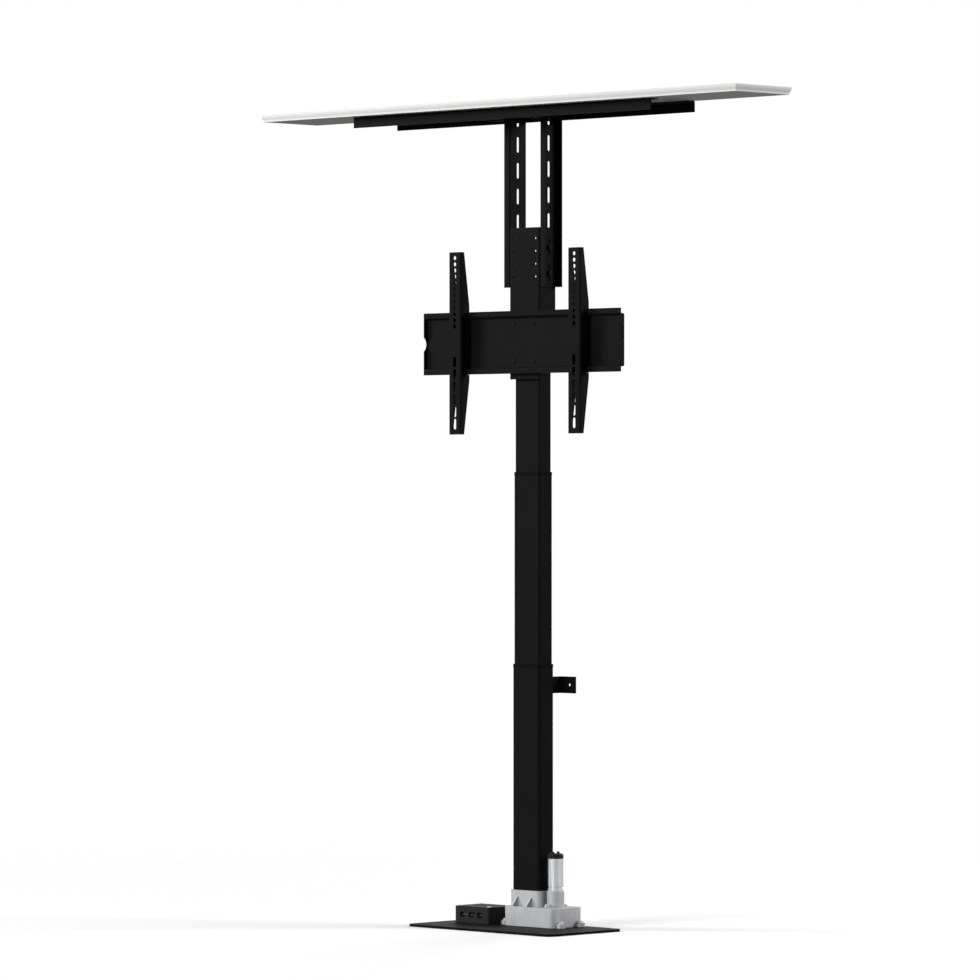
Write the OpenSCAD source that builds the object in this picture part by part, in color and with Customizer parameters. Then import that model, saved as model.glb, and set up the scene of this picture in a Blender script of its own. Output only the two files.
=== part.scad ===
// Screen lift with a three-stage telescopic column, a screen carrier and a lid carrier.
// The lift is drawn raised. Lengths are in millimetres. The origin is on the floor under the
// axis of the column, +Z is up and the screen's side faces -Y.

/* [Column] */
// Width of the inner tube
inner_w = 81; // [74:1:86]
// Depth of the inner tube
inner_d = 41; // [37:1:43]
// Outer corner radius of the inner tube
inner_corner = 3.5; // [2.5:0.5:8]
// Wall of all three tubes
tube_wall = 1.8; // [1.5:0.1:2.4]
// Running gap between one tube and the next
stage_gap = 1; // [0.8:0.1:1.4]
// Travel of each moving stage
stage_travel = 450; // [380:1:500]
// How much longer the fixed tube is than the travel
stage_overlap = 126; // [110:1:160]
// Height of the skirt of a collar
collar_skirt = 6; // [5:0.5:10]
// Thickness of the lip of a collar
collar_lip = 2; // [1.5:0.5:4]
// How far a collar stands out from its tube
collar_proud = 0.6; // [0.4:0.1:1]
// Height of a glide ring
glide_h = 40; // [25:1:60]

/* [Base] */
// Width of the base plate
base_w = 480; // [440:1:600]
// Depth of the base plate
base_d = 250; // [230:1:320]
// Thickness of the base plate
base_t = 6; // [4:1:10]
// Corner radius of the base plate
base_corner = 18; // [8:1:24]
// Distance from the column's axis to the wall behind
wall_y = 60; // [58:1:80]
// Distance from the edge of the base plate to its fixing holes
base_hole_inset = 25; // [20:1:32]
// Radius of the fixing holes of the base plate
base_hole_r = 4.5; // [3:0.5:6]
// Height of the wall bracket
wall_bracket_h = 40; // [30:1:60]
// Height of the wall bracket's middle below the top of the fixed tube
wall_bracket_drop = 48; // [40:1:120]
// Distance between the fixing holes of the wall bracket
wall_hole_span = 130; // [120:1:150]
// Radius of the fixing holes of the wall bracket
wall_hole_r = 3.5; // [2.5:0.5:4.5]

/* [Drive] */
// Module of the gears
gear_module = 2.5; // [2.5:0.05:2.6]
// Teeth of the spindle gear
spindle_teeth = 34; // [34:1:36]
// Teeth of the motor pinion
pinion_teeth = 26; // [26:1:28]
// Width of the spindle gear
gear_w = 14; // [10:1:16]
// Play between the teeth along the pitch circle
backlash = 0.5; // [0.3:0.05:0.8]
// Height of the gearbox housing
housing_h = 46; // [46:1:60]
// Wall of the gearbox housing
housing_wall = 5; // [4:0.5:8]
// Height of the socket that holds the fixed tube
socket_h = 38; // [30:1:60]
// Radius of the drive spindle
spindle_r = 7; // [6.5:0.1:7.4]
// Outer radius of the hollow spindle
hollow_r = 11; // [10.6:0.1:12]
// Radius of the motor's gear head
gearhead_r = 21; // [18:0.5:21.5]
// Height of the motor's gear head
gearhead_h = 40; // [30:1:60]
// Radius of the motor can
motor_r = 19; // [15:0.5:20]
// Height of the motor can
motor_h = 76; // [50:1:100]

/* [Control box] */
// Width of the control box
control_w = 116; // [100:1:124]
// Depth of the control box
control_d = 92; // [80:1:120]
// Height of the control box
control_h = 40; // [34:1:60]
// Wall of the control box
control_wall = 2.5; // [2:0.5:4]

/* [Carrier] */
// Sheet thickness of the carrier
sheet_t = 2.5; // [2:0.1:3]
// Bend radius of the sheet, at mid-thickness
bend_r = 3; // [2.5:0.25:4]
// Gap from the fixed tube's collar to the sides of the bracket
side_clear = 1; // [0.8:0.1:3]
// Gap from the fixed tube's collar to the front of the bracket
front_clear = 0.8; // [0.6:0.1:2]
// Depth of the head bracket
bracket_d = 54.5; // [50:0.5:56]
// Height of the head bracket
bracket_h = 362; // [330:1:390]
// How far the bracket rises above the inner tube
bracket_rise = 131.5; // [120:0.5:140]
// Width of the crossbar
crossbar_w = 660; // [640:1:760]
// Height of the crossbar
crossbar_h = 150; // [135:1:156]
// Depth of the crossbar
crossbar_d = 13.5; // [12:0.5:16]
// Height of the crossbar's bands
band_h = 15; // [13:0.5:18]
// Height of the crossbar's middle above the bracket's lower edge
crossbar_rise = 88.5; // [84:0.5:100]

/* [Arms] */
// Distance between the two arms
arm_span = 400; // [300:1:500]
// Length of an arm
arm_len = 439; // [428:1:460]
// Width of an arm
arm_w = 41; // [36:1:46]
// Distance from the crossbar's bands to the front of the arms
arm_stand = 23; // [20:0.5:30]
// Depth of an arm's sides at its ends
arm_tip_d = 12; // [9:0.5:15]
// Distance between the upper and lower fixing holes of an arm
arm_hole_span = 400; // [395:1:405]
// Distance from an arm's upper end to its first hole
arm_hole_inset = 14; // [11:0.5:16]
// Radius of an arm's holes
arm_hole_r = 5; // [3:0.25:5.5]
// Number of round holes in an arm
arm_holes = 12; // [4:1:12]
// Distance between the round holes
arm_hole_pitch = 15; // [12:0.5:15.5]
// Number of slots in an arm
arm_slots = 6; // [2:1:6]
// Distance between the slots
arm_slot_pitch = 30; // [29:0.5:32]
// Length of a slot
arm_slot_len = 26; // [20:0.5:27]
// Radius of a slot's ends
arm_slot_r = 5; // [3:0.25:5.5]

/* [Lid carrier] */
// Length of the mast channels
mast_len = 416.5; // [390:0.5:460]
// How far the mast channels overlap the bracket
mast_overlap = 142; // [130:1:150]
// Width of a mast channel's flanges
mast_flange = 18.5; // [17:0.5:24]
// Depth of the mast channels
mast_d = 58; // [52:0.5:60]
// Height of the middle of the lowest mast slot above the mast's lower end
mast_first = 33; // [28:0.5:38]
// Distance between the slots of the mast
mast_pitch = 62; // [58:0.5:66]
// Length of a mast slot
mast_slot_len = 38; // [34:0.5:44]
// Length of the lid rails
rail_len = 996; // [900:1:1200]
// Height of the lid rails
rail_h = 26.5; // [22:0.5:30]
// Width of the lid rails
rail_w = 25; // [22:0.5:30]
// Distance from the column's axis to the front of the front rail
rail_front = 118; // [110:1:140]
// Distance from the column's axis to the back of the rear rail
rail_rear = 32.5; // [31:0.5:40]
// Width of a cross member
member_w = 40; // [32:1:50]
// Length of the lid board
lid_w = 1590; // [1300:1:1800]
// Thickness of the lid board
lid_t = 18; // [15:1:22]
// How far the lid board stands out in front of the front rail
lid_front_over = 32; // [20:1:50]
// How far the lid board stands out behind the rear rail
lid_rear_over = 7; // [0.5:0.5:15]
// Slope of the lid board's edges where they meet its underside, in degrees from upright
lid_tilt = 36; // [25:1:55]
// Radius along the lid board's upper edges
lid_round = 2.5; // [1:0.5:4]

/* [Hidden] */
$fn = 48;
bend_steps = 5;

// Clearances
tight_clear = 0.02;
run_clear = 0.05;
slide_clear = 0.1;
seat_clear = 0.2;
move_clear = 0.3;
end_gap = 0.5;
eps = 1;

// Finishes
black = "#1d1d1f";
plastic = "#2a2a2c";
alloy = "#a4a6a8";
steel = "#8d9094";
cream = "#d8d2bd";
white = "#efeeea";

// Tubes, from the inside out: width, depth and corner radius grow by the same step
tube_step = stage_gap + tube_wall;
middle_w = inner_w + 2 * tube_step;
middle_d = inner_d + 2 * tube_step;
middle_corner = inner_corner + tube_step;
outer_w = middle_w + 2 * tube_step;
outer_d = middle_d + 2 * tube_step;
outer_corner = middle_corner + tube_step;

// Heights of the column, worked out closed and then raised
foot_clear = 8;
foot_h = 30;
stop_gap = 1;
foot_gap = 2;
outer_z = base_t + housing_h;
outer_len = stage_travel + stage_overlap;
outer_top = outer_z + outer_len;
middle_z = outer_z + foot_clear + stage_travel;
middle_top = outer_top + collar_lip + stop_gap + collar_skirt + stage_travel;
inner_z = middle_z + foot_h + foot_gap + stage_travel;
inner_top = middle_top + collar_lip + foot_gap + stage_travel;

// Drive
cover_t = 3;
cover_z = base_t + cover_t;
bearing_h = 9;
bearing_r = 16;
bearing_boss_r = 21;
journal_step = 1;
journal_r = spindle_r - journal_step;
gear_lift = 2;
gear_z = cover_z + bearing_h + gear_lift;
pinion_over = 1;
pinion_w = gear_w + 2 * pinion_over;
gear_r = gear_module * spindle_teeth / 2;
pinion_r = gear_module * pinion_teeth / 2;
motor_x = gear_r + pinion_r;
cavity_gap = 2;
housing_roof = 8;
cavity_top = outer_z - housing_roof;
bearing_hang = 4;
upper_bearing_z = cavity_top - bearing_hang;
housing_left = -(gear_r + gear_module + cavity_gap + housing_wall);
housing_right = motor_x + pinion_r + gear_module + cavity_gap + housing_wall;
housing_half = gear_r + gear_module + cavity_gap + housing_wall;
housing_corner = 16;
lug_r = 10;
lug_h = 10;
lug_sunk = 1.5;
lug_out = lug_r - lug_sunk;
lug_inset = 18;
lug_y = housing_half - lug_inset;
pinion_shaft_r = 5;
shaft_room = 3;
spindle_reach = 22;
spindle_top = middle_z + foot_h + spindle_reach;
hollow_z = middle_z + foot_h - bearing_h;
hollow_short = 47;
hollow_top = middle_top - hollow_short;
hollow_bore_r = spindle_r + move_clear;
hollow_step = 1.5;
hollow_journal_r = hollow_r - hollow_step;
motor_ear_r = 7;
motor_ear_out = 8;
motor_flange_t = 5;

// Fasteners: the small screws, the bolts and the screws between them in size
screw_r = 2.5;
screw_head_r = 2 * screw_r;
screw_floor = 1;
bolt_r = 4;
bolt_head_r = 6.5;
bolt_head_h = 5;
mid_r = 3;
mid_head_r = 5;
flat_land = 0.5;
thread_end = 1;

// Carrier
bracket_in_w = outer_w + 2 * collar_proud + 2 * side_clear;
bracket_w = bracket_in_w + 2 * sheet_t;
bracket_in_y = -(outer_d / 2 + collar_proud + front_clear);
bracket_y = bracket_in_y - sheet_t;
bracket_back = bracket_y + bracket_d;
bracket_top = inner_top + bracket_rise;
bracket_z = bracket_top - bracket_h;
bracket_tongue = 20;
cap_t = 6;
cap_plug_h = 30;
cap_lug_w = 9.5;
cap_lug_h = 30;
cap_lug_d = 44;
crossbar_mid = bracket_z + crossbar_rise;
crossbar_z = crossbar_mid - crossbar_h / 2;
crossbar_top = crossbar_mid + crossbar_h / 2;
band_y = bracket_y - crossbar_d;
crossbar_web_y = bracket_y - sheet_t;
web_hole_x = 37;
web_hole_drop = 26;
web_hole_r = 2.75;
web_hole_pitch = 30.5;
web_holes = 4;

// Arms
arm_x = arm_span / 2;
arm_y = band_y - arm_stand;
arm_z = crossbar_mid - arm_len / 2;
arm_top = arm_z + arm_len;
hook_d = 4.5;
hook_back = band_y + sheet_t + hook_d;
hook_reach = 10;
hook_rise = 14;
recess_gap = 2;
recess_back = crossbar_web_y - recess_gap;
// The tab for the lock screw sits between two slots, and clear below the crossbar
lock_gap = 8;
slots_below_tab = 4;
lowest_slot_z = arm_top - arm_hole_inset - arm_hole_span;
between_slots_z = lowest_slot_z + (slots_below_tab - 0.5) * arm_slot_pitch - sheet_t / 2;
lock_tab_z = min(between_slots_z, crossbar_z - lock_gap);
lock_tab_past = 6;
lock_y = band_y + sheet_t / 2;

// Lid carrier
mast_x = bracket_w / 2 + seat_clear;
mast_z = bracket_top - mast_overlap;
mast_top = mast_z + mast_len;
mast_slot_r = 4.25;
mast_slot_z = mast_z + mast_first;
mast_edge = 6;
member_lift = 2;
member_z = mast_top + sheet_t + member_lift;
member_short = 5;
member_h = rail_h - member_short;
rail_t = 3;
lid_z = member_z + rail_t;
member_x = mast_x - sheet_t;
lid_front = -(rail_front + lid_front_over);
lid_back = rail_rear + lid_rear_over;
lid_screw_x = [for (part = [0.3, 0.64, 0.965]) part * rail_len / 2];
lid_screw_r = 2;
lid_screw_bite = 0.7 * lid_t;
lid_head_r = 4.5;
lid_head_h = 3;
lid_head_bevel = 1.5;
lid_edge_steps = 8;

// Flat helpers

module round_rect(w, d, r) {
    square([w - 2 * r, d], center = true);
    square([w, d - 2 * r], center = true);
    for (x = [-1, 1], y = [-1, 1]) translate([x * (w / 2 - r), y * (d / 2 - r)]) circle(r);
}

module ring(w, d, r, wall) {
    difference() {
        round_rect(w, d, r);
        round_rect(w - 2 * wall, d - 2 * wall, r - wall);
    }
}

// Bent sheet: a path at mid-thickness, given its thickness and its bends
function unit(v) = v / norm(v);
function left_of(v) = [-v.y, v.x];
function reversed(list) = [for (i = [len(list) - 1 : -1 : 0]) list[i]];
function bend_arc(a, b, c, side, r) = let(
    way = unit(b - a),
    next = unit(c - b),
    turn = atan2(way.x * next.y - way.y * next.x, way * next),
    hand = sign(turn),
    centre = b - way * r * tan(abs(turn) / 2) + left_of(way) * r * hand,
    start = atan2(-left_of(way).y * hand, -left_of(way).x * hand)
) [for (k = [0 : bend_steps]) let(a = start + turn * k / bend_steps)
    centre + (r - hand * side) * [cos(a), sin(a)]];
function bent_side(path, side, r) = let(last = len(path) - 1) concat(
    [path[0] + left_of(unit(path[1] - path[0])) * side],
    [for (i = [1 : last - 1]) each bend_arc(path[i - 1], path[i], path[i + 1], side, r)],
    [path[last] + left_of(unit(path[last] - path[last - 1])) * side]
);

module sheet(path, thick = sheet_t, r = bend_r) {
    polygon(concat(bent_side(path, thick / 2, r), reversed(bent_side(path, -thick / 2, r))));
}

// Solid helpers

module block(low, high) {
    translate(low) cube(high - low);
}

module along_x(length) {
    translate([-length / 2, 0, 0]) rotate([90, 0, 90]) linear_extrude(length) children();
}

module along_y(low, high) {
    translate([0, high, 0]) rotate([90, 0, 0]) linear_extrude(high - low) children();
}

module drill_y(x, z, r, low, high) {
    translate([x, high, z]) rotate([90, 0, 0]) cylinder(h = high - low, r = r);
}

module drill_x(y, z, r, low, high) {
    translate([low, y, z]) rotate([0, 90, 0]) cylinder(h = high - low, r = r);
}

// Upright slot through a sheet that faces Y
module slot_y(x, z, r, length, low, high) {
    half = length / 2 - r;
    drill_y(x, z - half, r, low, high);
    drill_y(x, z + half, r, low, high);
    block([x - r, low, z - half], [x + r, high, z + half]);
}

// Upright slot through a sheet that faces X
module slot_x(y, bottom, top, r, low, high) {
    drill_x(y, bottom + r, r, low, high);
    drill_x(y, top - r, r, low, high);
    block([low, y - r, bottom + r], [high, y + r, top - r]);
}

// Gear teeth: half the angle of a tooth at a given radius
pressure = 20;
function involute(a) = tan(a) * 180 / PI - a;
function tooth_half(r, pitch_r, teeth) = let(
    base_r = pitch_r * cos(pressure),
    a = r > base_r ? acos(base_r / r) : 0
) 90 / teeth - backlash / pitch_r * 45 / PI + involute(pressure) - involute(a);
function gear_outline(teeth) = let(
    pitch_r = gear_module * teeth / 2,
    radii = [pitch_r - 1.2 * gear_module, pitch_r, pitch_r + 0.9 * gear_module]
) [for (i = [0 : teeth - 1], k = [0 : 5]) let(
    r = radii[k < 3 ? k : 5 - k],
    a = 360 * i / teeth + (k < 3 ? -1 : 1) * tooth_half(r, pitch_r, teeth)
) r * [cos(a), sin(a)]];

// Base

module base_plate() {
    mid_y = wall_y - base_d / 2;
    color(black) difference() {
        translate([0, mid_y, 0]) linear_extrude(base_t) round_rect(base_w, base_d, base_corner);
        for (x = [-1, 1], y = [-1, 1])
            translate([x * (base_w / 2 - base_hole_inset),
                mid_y + y * (base_d / 2 - base_hole_inset), -eps])
                cylinder(h = base_t + 2 * eps, r = base_hole_r);
        at_lugs() translate([0, 0, -eps]) cylinder(h = base_t + 2 * eps, r = bolt_r + run_clear);
        at_control_screws() translate([0, 0, screw_floor])
            cylinder(h = base_t, r = screw_r + run_clear);
    }
}

module wall_bracket() {
    mid_z = outer_top - wall_bracket_drop;
    half_t = sheet_t / 2;
    leg_x = outer_w / 2 - outer_corner - half_t;
    ear_past_hole = 20;
    ear_x = wall_hole_span / 2 + ear_past_hole;
    path = [[-ear_x, wall_y - half_t], [-leg_x, wall_y - half_t], [-leg_x, outer_d / 2 + half_t],
        [leg_x, outer_d / 2 + half_t], [leg_x, wall_y - half_t], [ear_x, wall_y - half_t]];
    color(black) difference() {
        translate([0, 0, mid_z - wall_bracket_h / 2]) linear_extrude(wall_bracket_h) sheet(path);
        for (x = [-1, 1])
            drill_y(x * wall_hole_span / 2, mid_z, wall_hole_r, wall_y - sheet_t - eps, wall_y + eps);
    }
}

// Gearbox and motor

module at_lugs() {
    for (x = [housing_left - lug_out, housing_right + lug_out], y = [-1, 1])
        translate([x, y * lug_y, 0]) children();
}

module housing_plan(shrink = 0) {
    translate([(housing_left + housing_right) / 2, 0])
        round_rect(housing_right - housing_left - 2 * shrink, 2 * (housing_half - shrink),
            housing_corner - shrink);
}

module gear_room() {
    circle(gear_r + gear_module + cavity_gap);
    translate([motor_x, 0]) circle(pinion_r + gear_module + cavity_gap);
}

module gearbox_housing() {
    socket_w = outer_w + 2 * seat_clear + 2 * housing_wall;
    socket_d = outer_d + 2 * seat_clear + 2 * housing_wall;
    rib_t = 6;
    rib_root = socket_d / 3;
    rib_end = housing_half - 2;
    color(alloy) difference() {
        union() {
            translate([0, 0, base_t]) linear_extrude(housing_h) housing_plan();
            translate([0, 0, base_t]) linear_extrude(lug_h) at_lugs() circle(lug_r);
            translate([0, 0, outer_z]) linear_extrude(socket_h)
                round_rect(socket_w, socket_d, outer_corner + housing_wall);
            for (y = [-1, 1], x = [-1, 1])
                translate([x * outer_w / 4 - rib_t / 2, 0, outer_z]) rotate([90, 0, 90])
                    linear_extrude(rib_t)
                    polygon([[y * rib_root, 0], [y * rib_end, 0], [y * rib_root, socket_h]]);
        }
        translate([0, 0, base_t - eps]) linear_extrude(cover_t + eps) housing_plan(housing_wall / 2);
        difference() {
            translate([0, 0, base_t]) linear_extrude(cavity_top - base_t) gear_room();
            translate([0, 0, upper_bearing_z]) cylinder(h = housing_h, r = bearing_boss_r);
        }
        translate([0, 0, upper_bearing_z - eps]) cylinder(h = bearing_h + eps, r = bearing_r);
        translate([0, 0, base_t]) cylinder(h = housing_h + eps, r = spindle_r + shaft_room);
        translate([motor_x, 0, base_t])
            cylinder(h = housing_h + eps, r = pinion_shaft_r + shaft_room);
        translate([0, 0, outer_z]) linear_extrude(socket_h + eps)
            round_rect(outer_w + 2 * seat_clear, outer_d + 2 * seat_clear, outer_corner + seat_clear);
        at_lugs() cylinder(h = outer_z, r = bolt_r + run_clear);
        at_clamps() cylinder(h = socket_w, r = screw_r + run_clear);
        at_motor_screws() translate([0, 0, cavity_top + screw_floor])
            cylinder(h = housing_h, r = screw_r + run_clear);
    }
}

module gearbox_cover() {
    color(alloy) difference() {
        union() {
            translate([0, 0, base_t]) linear_extrude(cover_t)
                housing_plan(housing_wall / 2 + seat_clear);
            translate([0, 0, base_t]) cylinder(h = cover_t + bearing_h, r = bearing_boss_r);
            translate([motor_x, 0, base_t])
                cylinder(h = cover_t + bearing_h - pinion_over, r = 2 * pinion_shaft_r);
        }
        translate([0, 0, cover_z]) cylinder(h = bearing_h + eps, r = bearing_r);
        translate([motor_x, 0, cover_z]) cylinder(h = bearing_h + eps, r = pinion_shaft_r + run_clear);
    }
}

module gearbox_bolts() {
    color(steel) at_lugs() {
        translate([0, 0, end_gap]) cylinder(h = base_t + lug_h, r = bolt_r);
        translate([0, 0, base_t + lug_h]) cylinder(h = bolt_head_h, r = bolt_head_r, $fn = 6);
    }
}

module bearing(z, bore) {
    groove_w = 2;
    color(steel) translate([0, 0, z]) rotate_extrude() difference() {
        translate([bore, 0]) square([bearing_r - run_clear - bore, bearing_h]);
        for (y = [0, bearing_h])
            translate([(bearing_r + bore) / 2, y]) square(groove_w, center = true);
    }
}

module lower_bearing() {
    bearing(cover_z, journal_r + run_clear);
}

module upper_bearing() {
    bearing(upper_bearing_z, journal_r + run_clear);
}

module at_motor_screws() {
    for (y = [-1, 1]) translate([motor_x, y * (gearhead_r + motor_ear_out), 0]) children();
}

module motor_gearhead() {
    bevel = 2;
    color(alloy) difference() {
        union() {
            translate([motor_x, 0, outer_z]) rotate_extrude() polygon([[0, 0], [gearhead_r, 0],
                [gearhead_r, gearhead_h - bevel], [gearhead_r - bevel, gearhead_h],
                [0, gearhead_h]]);
            translate([0, 0, outer_z]) linear_extrude(motor_flange_t) {
                at_motor_screws() circle(motor_ear_r);
                translate([motor_x, 0])
                    square([2 * motor_ear_r, 2 * (gearhead_r + motor_ear_out)], center = true);
            }
        }
        translate([motor_x, 0, outer_z - eps])
            cylinder(h = gearhead_h / 2 + eps, r = pinion_shaft_r + run_clear);
        at_motor_screws() translate([0, 0, outer_z - eps])
            cylinder(h = motor_flange_t + 2 * eps, r = screw_r + seat_clear);
    }
}

module motor_screws() {
    low = cavity_top + screw_floor + end_gap;
    seat = outer_z + motor_flange_t;
    head_h = 3;
    color(steel) at_motor_screws() {
        translate([0, 0, low]) cylinder(h = seat - low, r = screw_r);
        translate([0, 0, seat]) cylinder(h = head_h, r = screw_head_r);
    }
}

module motor_can() {
    low = 6;
    high = 10;
    deep = 1;
    color(steel) translate([motor_x, 0, outer_z + gearhead_h]) rotate_extrude() polygon([[0, 0],
        [motor_r, 0], [motor_r, low], [motor_r - deep, low + deep], [motor_r - deep, high - deep],
        [motor_r, high], [motor_r, motor_h], [0, motor_h]]);
}

module motor_end_cap() {
    cap_h = 12;
    bevel = 3;
    terminal = [6, 4, 4.5];
    terminal_y = 9;
    color(plastic) translate([motor_x, 0, outer_z + gearhead_h + motor_h]) {
        rotate_extrude() polygon([[0, 0], [motor_r, 0], [motor_r, cap_h - bevel],
            [motor_r - bevel, cap_h], [0, cap_h]]);
        for (y = [-1, 1])
            block([-terminal.x / 2, y * terminal_y - terminal.y / 2, cap_h - end_gap],
                [terminal.x / 2, y * terminal_y + terminal.y / 2, cap_h + terminal.z]);
    }
}

// Fixed tube

module at_clamps() {
    for (x = [-1, 1], y = [-1, 1])
        translate([x * outer_w / 2, y * outer_d / 5, outer_z + socket_h / 2])
            rotate([0, 90 * x, 0]) children();
}

module tube_clamp_screws() {
    color(steel) at_clamps() cylinder(h = housing_wall + seat_clear - end_gap, r = screw_r);
}

module outer_tube() {
    color(black) translate([0, 0, outer_z]) linear_extrude(outer_len)
        ring(outer_w, outer_d, outer_corner, tube_wall);
}

// Collar over the upper end of a tube, a close guide for the next tube inside it
module collar(tube_w, tube_d, corner, top) {
    inside = tube_step - slide_clear;
    color(plastic) {
        difference() {
            translate([0, 0, top - collar_skirt]) linear_extrude(collar_skirt + collar_lip)
                round_rect(tube_w + 2 * collar_proud, tube_d + 2 * collar_proud, corner + collar_proud);
            translate([0, 0, top - collar_skirt - eps]) linear_extrude(collar_skirt + eps)
                round_rect(tube_w + 2 * run_clear, tube_d + 2 * run_clear, corner + run_clear);
            translate([0, 0, top - eps]) linear_extrude(collar_lip + 2 * eps)
                round_rect(tube_w - 2 * inside, tube_d - 2 * inside, corner - inside);
        }
    }
}

module outer_collar() {
    collar(outer_w, outer_d, outer_corner, outer_top);
}

// Glide ring on the lower end of a tube
module glide(tube_w, tube_d, corner, z) {
    thick = stage_gap - slide_clear;
    lift = 2;
    color(white) translate([0, 0, z + lift]) linear_extrude(glide_h)
        ring(tube_w + 2 * thick, tube_d + 2 * thick, corner + thick, thick - run_clear);
}

// Block in the lower end of a tube
module foot_block(tube_w, tube_d, corner, z, height) {
    fit = tube_wall + slide_clear;
    translate([0, 0, z]) linear_extrude(height)
        round_rect(tube_w - 2 * fit, tube_d - 2 * fit, corner - fit);
}

// Control box

control_gap = 12;
control_x = housing_left - 2 * lug_r - control_gap - control_w / 2;
control_y = -20;
control_corner = 5;
control_screw_in = 8;
control_boss_r = 6;
vents_each_side = 4;
vent_pitch = 7;
vent_w = 3;
vent_len = 32;

module at_control_screws() {
    for (x = [-1, 1], y = [-1, 1])
        translate([control_x + x * (control_w / 2 - control_screw_in),
            control_y + y * (control_d / 2 - control_screw_in), 0]) children();
}

module at_sockets() {
    for (i = [0 : 2]) translate([control_x + (i - 1) * control_w / 4, control_y - control_d / 2,
        base_t + control_h / 2])
        children();
}

socket_size = [26, 18];
socket_hole = [20, 12];
socket_depth = 12;
socket_back = 2;

module control_box() {
    color(plastic) difference() {
        translate([control_x, control_y, base_t]) linear_extrude(control_h - control_wall)
            round_rect(control_w, control_d, control_corner);
        difference() {
            translate([control_x, control_y, base_t + control_wall]) linear_extrude(control_h)
                round_rect(control_w - 2 * control_wall, control_d - 2 * control_wall,
                    control_corner - control_wall);
            at_control_screws() cylinder(h = base_t + control_h - control_wall, r = control_boss_r);
        }
        at_control_screws() cylinder(h = control_h + base_t, r = screw_r + run_clear);
        at_sockets() cube([socket_size.x, 3 * control_wall, socket_size.y], center = true);
    }
}

module control_box_cover() {
    color(plastic) difference() {
        translate([control_x, control_y, base_t + control_h - control_wall])
            linear_extrude(control_wall)
            round_rect(control_w, control_d, control_corner);
        at_control_screws() cylinder(h = base_t + control_h + eps, r = screw_r + run_clear);
        for (i = [-vents_each_side : vents_each_side])
            translate([control_x + i * vent_pitch - vent_w / 2, control_y - vent_len / 2, base_t])
                cube([vent_w, vent_len, control_h + eps]);
    }
}

module control_box_screws() {
    low = screw_floor + end_gap;
    seat = base_t + control_h;
    head_h = 2;
    color(steel) at_control_screws() {
        translate([0, 0, low]) cylinder(h = seat - low, r = screw_r);
        translate([0, 0, seat]) cylinder(h = head_h, r = screw_head_r);
    }
}

module control_sockets() {
    color(plastic) at_sockets() difference() {
        translate([-socket_size.x / 2, 0, -socket_size.y / 2])
            cube([socket_size.x, socket_depth, socket_size.y]);
        translate([-socket_hole.x / 2, -eps, -socket_hole.y / 2])
            cube([socket_hole.x, socket_depth - socket_back + eps, socket_hole.y]);
    }
}

// Drive line

module drive_spindle() {
    color(steel) {
        translate([0, 0, cover_z + end_gap])
            cylinder(h = upper_bearing_z + bearing_h - cover_z, r = journal_r);
        translate([0, 0, upper_bearing_z + bearing_h + move_clear])
            cylinder(h = spindle_top - upper_bearing_z - bearing_h - move_clear, r = spindle_r);
    }
}

module spindle_gear() {
    hole_r = 6;
    hole_ring = 0.6 * gear_r;
    color(cream) difference() {
        translate([0, 0, gear_z]) linear_extrude(gear_w) gear_outline_at(spindle_teeth, 0);
        translate([0, 0, gear_z - eps]) cylinder(h = gear_w + 2 * eps, r = journal_r + tight_clear);
        for (a = [0 : 60 : 300]) rotate(a) translate([hole_ring, 0, gear_z - eps])
            cylinder(h = gear_w + 2 * eps, r = hole_r);
    }
}

module gear_outline_at(teeth, turn) {
    rotate(turn) polygon(gear_outline(teeth));
}

module motor_pinion() {
    // A gap of the pinion faces the tooth of the spindle gear on the line of centres
    mesh_turn = 180 + 180 / pinion_teeth;
    color(steel) translate([motor_x, 0, 0]) {
        translate([0, 0, gear_z - pinion_over]) linear_extrude(pinion_w)
            gear_outline_at(pinion_teeth, mesh_turn);
        translate([0, 0, cover_z + end_gap])
            cylinder(h = outer_z + gearhead_h / 2 - cover_z - 2 * end_gap, r = pinion_shaft_r);
    }
}

module middle_tube() {
    color(black) translate([0, 0, middle_z]) linear_extrude(middle_top - middle_z)
        ring(middle_w, middle_d, middle_corner, tube_wall);
}

module middle_collar() {
    collar(middle_w, middle_d, middle_corner, middle_top);
}

module middle_glide() {
    glide(middle_w, middle_d, middle_corner, middle_z);
}

module middle_nut() {
    color(cream) difference() {
        foot_block(middle_w, middle_d, middle_corner, middle_z, foot_h);
        translate([0, 0, middle_z - eps]) cylinder(h = foot_h + 2 * eps, r = spindle_r + run_clear);
        translate([0, 0, hollow_z]) cylinder(h = foot_h, r = bearing_r);
    }
}

module middle_bearing() {
    bearing(hollow_z, hollow_journal_r + run_clear);
}

module hollow_spindle() {
    color(steel) difference() {
        union() {
            translate([0, 0, hollow_z + move_clear])
                cylinder(h = bearing_h + eps, r = hollow_journal_r);
            translate([0, 0, hollow_z + bearing_h + move_clear])
                cylinder(h = hollow_top - hollow_z - bearing_h - move_clear, r = hollow_r);
        }
        translate([0, 0, hollow_z - eps]) cylinder(h = hollow_top, r = hollow_bore_r);
    }
}

module inner_tube() {
    color(black) translate([0, 0, inner_z]) linear_extrude(inner_top - inner_z)
        ring(inner_w, inner_d, inner_corner, tube_wall);
}

module inner_glide() {
    glide(inner_w, inner_d, inner_corner, inner_z);
}

module inner_nut() {
    nut_h = 25;
    color(cream) difference() {
        foot_block(inner_w, inner_d, inner_corner, inner_z, nut_h);
        translate([0, 0, inner_z - eps]) cylinder(h = nut_h + 2 * eps, r = hollow_r + run_clear);
    }
}

// Head and crossbar

mast_bolt_z = [mast_slot_z, mast_slot_z + mast_pitch];
cap_x = bracket_in_w / 2 - seat_clear;
cap_screw_z = mast_slot_z;
cap_screw_y = 14;

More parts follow.
